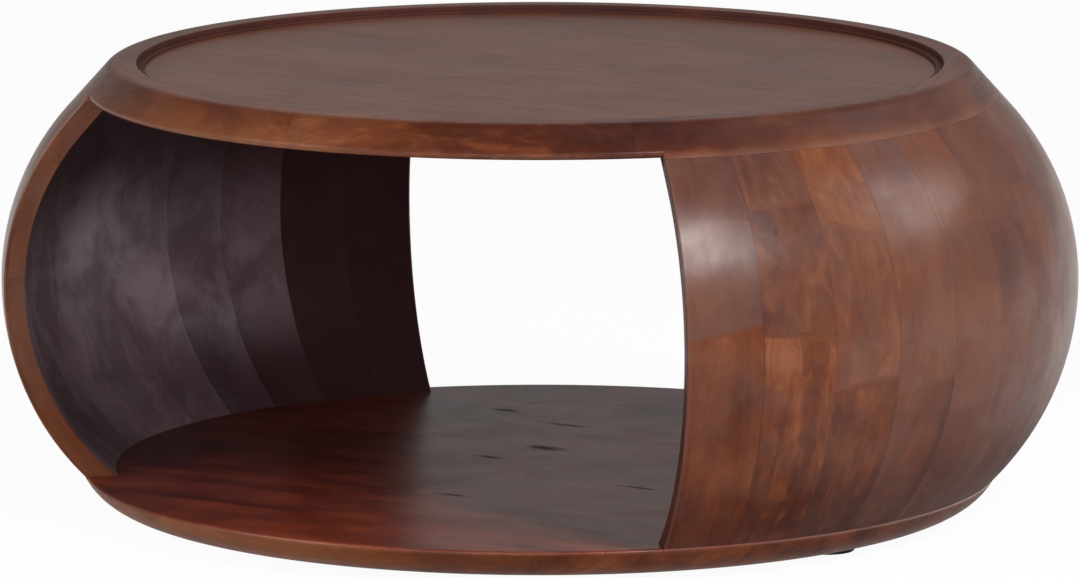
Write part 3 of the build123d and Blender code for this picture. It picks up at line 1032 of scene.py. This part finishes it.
# Each knot in the shelf: its place as x and y, its half width and half length, and how dark it is.
SHELF_FLECKS = (
    (-0.183, 0.218, 0.0080, 0.024, 1.0),
    (-0.041, 0.072, 0.0150, 0.032, 1.0),
    (-0.091, 0.183, 0.0070, 0.040, 0.9),
    (-0.059, 0.005, 0.0070, 0.026, 0.9),
    (0.017, -0.172, 0.0070, 0.030, 0.8),
    (0.142, -0.049, 0.0065, 0.034, 0.8),
)
print("knots in the shelf:", len(SHELF_FLECKS))

# %% Choose the boards' finish
board_figure = 0.3
top_contrast = 0.5
shelf_contrast = 1.4
top_satin = 0.33
top_gloss = 0.26
shelf_satin = 0.45
shelf_gloss = 0.04
shelf_coat = 0.72
shelf_patches = 0.10
shelf_redness = 0.9
shelf_rub = 0.006
shelf_skin = (shelf_height - 0.003, shelf_height - 0.001)
# How much lighter the top is painted towards the left-hand shell, as light from the front left.
top_painted_light = 0.08
# Where along X each painted change starts and ends, and its values at those two ends: the top's painted
# light, the shelf face's painted shade and light, and the bare edge's painted light.
top_light_reach = (-0.36, -0.14)
shade_reach = (-0.22, 0.10)
shelf_painted_shade_and_light = (-0.07, 0.06)
edge_reach = (-0.25, 0.30)
edge_painted_light = (0.22, -0.02)
print("the shelf's face begins at", round(shelf_skin[0], 4), "m")


# %% Stain the boards
def top_tones(tree, point, look):
    """The top, painted lighter towards the left-hand shell, as light from the front left."""
    x = add_node(tree, "ShaderNodeSeparateXYZ", {0: point}).outputs[0]
    # Painted light: lighter towards the left-hand shell.
    left_light = spread(tree, x, *top_light_reach, top_painted_light, 0.0)
    return {**look, "lightness": maths(tree, "ADD", left_light, look["lightness"])}


def shelf_tones(tree, point, look):
    """The face of the shelf under its coat, and its bare edge, each with its own run of painted light and
    shade.
    """
    x, y, height = add_node(tree, "ShaderNodeSeparateXYZ", {0: point}).outputs
    face = spread(tree, height, *shelf_skin)
    # Painted light and shade: the edge is lighter towards the left, the face darker there and lighter to the
    # right.
    edge_tone = spread(tree, x, *edge_reach, *[look["lightness"] + tone for tone in edge_painted_light])
    face_tone = spread(tree, x, *shade_reach, *[look["lightness"] + tone for tone in shelf_painted_shade_and_light])
    return {
        **look,
        "lightness": moved_to(tree, face, edge_tone, face_tone),
        "redness": maths(tree, "MULTIPLY", face, shelf_redness),
        "coat": maths(tree, "MULTIPLY", face, shelf_coat),
        "patchy": shelf_patches,
    }


def board_wood(name, number, width, count, look, toned, flecks, rings):
    """A straight board of a round panel; toned is the panel's function for its tones."""
    material, tree = blank_material(name + "_wood")
    middle = (number - 0.5 - count / 2) * width
    point, turned = point_turned(tree, math.pi / 2, middle)
    place = flat_place(tree, turned)
    edge = maths(tree, "SUBTRACT", width / 2, maths(tree, "ABSOLUTE", place["Across"]))
    joint = {"Distance": edge, "Along": place["Along"], "Seed": look["seed"]}
    here = [(y - middle, -x, *shape) for x, y, *shape in flecks if abs(y - middle) < width / 2]
    dark = [use_group(tree, joint_line, joint)["Dark"], *flecks_in(tree, place, here)]
    rubbed = [ring_rub(tree, point, *ring) for ring in rings]
    relief = use_group(tree, sanded, {"Point": point})["Relief"]
    finish_wood(tree, place, toned(tree, point, look), dark, rubbed, relief)
    coat(name, material)


def board_look(seed, lightness, greyness, rough, gloss, contrast):
    """One board's own values."""
    look = {"seed": seed, "contrast": contrast, "figure": board_figure, "rough": rough, "gloss": gloss}
    return {**look, "lightness": lightness, "greyness": greyness}


# %% Stain the top and the shelf
top_width = 2 * well_radius / len(TOP_LOOKS)
for number, tones in enumerate(TOP_LOOKS, 1):
    look = board_look(seed_for("top", number), *tones, top_satin, top_gloss, top_contrast)
    board_wood(f"top_board_{number}", number, top_width, len(TOP_LOOKS), look, top_tones, (), ())
shelf_width = 2 * shelf_radius / len(SHELF_LOOKS)
rings = ((shelf_radius, shelf_height, shelf_rub),)
for number, tones in enumerate(SHELF_LOOKS, 1):
    look = board_look(seed_for("shelf", number), *tones, shelf_satin, shelf_gloss, shelf_contrast)
    name = f"base_board_{number}"
    board_wood(name, number, shelf_width, len(SHELF_LOOKS), look, shelf_tones, SHELF_FLECKS, rings)
print("boards stained:", len(TOP_LOOKS) + len(SHELF_LOOKS))

# %% [markdown]
# ## Dowels, feet and screws
# These are hidden in use, but anyone who lifts the table or takes it apart sees them. The dowels are raw
# beech with short rays in it. The feet are black rubber, finely pebbled and a little dusty. The screws are
# zinc plated, and their heads show wavy lines from the lathe.


# %% Turn the dowels
beech_pale = (0.72, 0.54, 0.36, 1)
beech_dark = (0.56, 0.38, 0.23, 1)
beech_ray = (0.36, 0.21, 0.12, 1)
ray_cover = 0.5
BEECH_LINES = ((420.0, 420.0, 3.0), (0.35, 0.65))
BEECH_RAYS = ((900.0, 300.0, 1.0), (0.60, 0.75))
beech_rough = (0.62, 0.75)
beech_relief = 0.00004


def beech():
    """Fine lines of grain, with short dark rays in it."""
    material, tree = blank_material("raw_beech")
    point = add_node(tree, "ShaderNodeTexCoord").outputs["Object"]
    grain_lines = kept_noise(tree, point, *BEECH_LINES)
    rays_cut = kept_noise(tree, point, *BEECH_RAYS)
    colour = blend(tree, grain_lines, beech_dark, beech_pale)
    colour = blend(tree, maths(tree, "MULTIPLY", rays_cut, ray_cover), colour, beech_ray)
    height = maths(tree, "MULTIPLY", grain_lines, beech_relief)
    bump = add_node(tree, "ShaderNodeBump", {"Height": height, "Distance": 1.0}).outputs[0]
    rough = spread(tree, rays_cut, 0.0, 1.0, *beech_rough)
    raw = {"Base Color": colour, "Roughness": rough, "Normal": bump}
    shader = add_node(tree, "ShaderNodeBsdfPrincipled", raw)
    add_node(tree, "ShaderNodeOutputMaterial", {"Surface": shader.outputs[0]})
    return material


dowel_material = beech()
for name in ("base_dowels", "rim_to_stave_dowels", "rim_joint_dowels"):
    coat(name, dowel_material)
print("dowels coated")


# %% Mould the feet
rubber_black = (0.014, 0.012, 0.012, 1)
rubber_dust = (0.075, 0.068, 0.062, 1)
DUST_PATCHES = ((120.0, 120.0, 4.0), (0.45, 0.75))
dust_cover = 0.35
rubber_rough = (0.7, 0.9)
pebbles_per_metre = 900.0
pebble_relief = 0.00012
rubber_gloss = 0.2


def rubber():
    """Small round pebbles, and patches of dust."""
    material, tree = blank_material("black_rubber")
    point = add_node(tree, "ShaderNodeTexCoord").outputs["Object"]
    pebbles = add_node(tree, "ShaderNodeTexVoronoi", {"Vector": point, "Scale": pebbles_per_metre})
    pebbles = pebbles.outputs["Distance"]
    dust = kept_noise(tree, point, *DUST_PATCHES)
    colour = blend(tree, maths(tree, "MULTIPLY", dust, dust_cover), rubber_black, rubber_dust)
    height = maths(tree, "MULTIPLY", pebbles, pebble_relief)
    bump = add_node(tree, "ShaderNodeBump", {"Height": height, "Distance": 1.0}).outputs[0]
    dull = {"Roughness": spread(tree, dust, 0.0, 1.0, *rubber_rough), "Specular IOR Level": rubber_gloss}
    shader = add_node(tree, "ShaderNodeBsdfPrincipled", {"Base Color": colour, "Normal": bump, **dull})
    add_node(tree, "ShaderNodeOutputMaterial", {"Surface": shader.outputs[0]})
    return material


foot_material = rubber()
feet = [name for name in nodes if name.startswith("foot_") and name != "foot_screws"]
for name in feet:
    coat(name, foot_material)
print("feet coated:", len(feet))


# %% Plate the screws
zinc_dull = (0.50, 0.49, 0.44, 1)
zinc_bright = (0.68, 0.67, 0.62, 1)
ZINC_CLOUDS = ((500.0, 500.0, 3.0), (0.3, 0.7))
zinc_rough = (0.45, 0.28)
lathe_lines = 260.0
lathe_relief = 0.000006


def zinc():
    """Cloudy plating over the wavy lines that the lathe leaves."""
    material, tree = blank_material("zinc_plate")
    point = add_node(tree, "ShaderNodeTexCoord").outputs["Object"]
    sheen = kept_noise(tree, point, *ZINC_CLOUDS)
    turned_lines = stretched_noise(tree, point, lathe_lines, lathe_lines, 1.0)
    fine_lines = maths(tree, "SINE", maths(tree, "MULTIPLY", turned_lines, lathe_lines))
    colour = blend(tree, sheen, zinc_dull, zinc_bright)
    height = maths(tree, "MULTIPLY", fine_lines, lathe_relief)
    bump = add_node(tree, "ShaderNodeBump", {"Height": height, "Distance": 1.0}).outputs[0]
    plated = {"Base Color": colour, "Metallic": 1.0, "Normal": bump}
    plated["Roughness"] = spread(tree, sheen, 0.0, 1.0, *zinc_rough)
    shader = add_node(tree, "ShaderNodeBsdfPrincipled", plated)
    add_node(tree, "ShaderNodeOutputMaterial", {"Surface": shader.outputs[0]})
    return material


coat("foot_screws", zinc())
print("screws plated")
